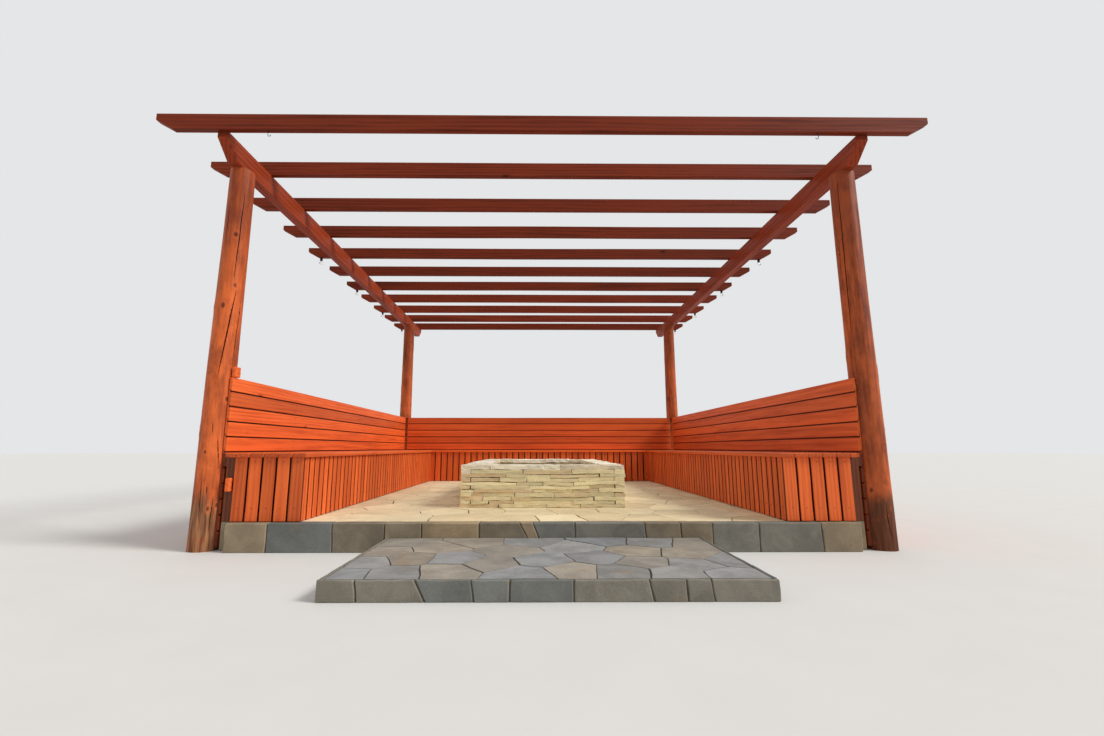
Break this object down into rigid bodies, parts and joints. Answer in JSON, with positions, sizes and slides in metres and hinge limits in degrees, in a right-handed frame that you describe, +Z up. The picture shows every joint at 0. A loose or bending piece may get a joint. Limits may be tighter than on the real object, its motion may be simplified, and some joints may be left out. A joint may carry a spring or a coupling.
{
  "type": "wooden pergola with bench and fire pit",
  "caption": "Open log-post timber pergola with slatted rafters, a U-shaped bench with board backrests, a raised stone floor, an entrance step and a stone fire pit.",
  "frame": {"origin": "middle of the footprint at ground level", "axes": "+Z up, +Y from the open front towards the rear bench, +X to the right seen from the front"},
  "size_m": [5.6, 6.985, 3.07],
  "materials": {
    "log": "peeled round log, red-brown stain, worn",
    "roof_timber": "sawn timber, red-brown stain",
    "boards": "planed boards, orange-red stain",
    "inner_timber": "sawn timber, unfinished",
    "flagstone": "split flagstone with pale mortar joints",
    "pit_stone": "thin dry-laid stone slabs",
    "iron": "black",
    "bulb": "clear glass"
  },
  "bodies": {
    "root": {"backrest_left": "boards", "backrest_rear": "boards", "backrest_right": "boards", "beam_left": "roof_timber", "beam_right": "roof_timber", "bench_ends": "boards", "cladding_left": "boards", "cladding_rear": "boards", "cladding_right": "boards", "end_lamps": "bulb", "entrance_step": "flagstone", "fire_pit_front": "pit_stone", "fire_pit_left": "pit_stone", "fire_pit_rear": "pit_stone", "fire_pit_right": "pit_stone", "plant_hooks": "iron", "post_front_left": "log", "post_front_right": "log", "post_rear_left": "log", "post_rear_right": "log", "post_stubs": "boards", "rafter_01": "roof_timber", "rafter_02": "roof_timber", "rafter_03": "roof_timber", "rafter_04": "roof_timber", "rafter_05": "roof_timber", "rafter_06": "roof_timber", "rafter_07": "roof_timber", "rafter_08": "roof_timber", "rafter_09": "roof_timber", "rafter_10": "roof_timber", "rafter_11": "roof_timber", "rails_left": "inner_timber", "rails_rear": "inner_timber", "rails_right": "inner_timber", "seat_left": "boards", "seat_rear": "boards", "seat_right": "boards", "stakes_left": "inner_timber", "stakes_rear": "inner_timber", "stakes_right": "inner_timber", "stone_floor": "flagstone", "trestles_left": "inner_timber", "trestles_rear": "inner_timber", "trestles_right": "inner_timber"}
  },
  "joints": []
}
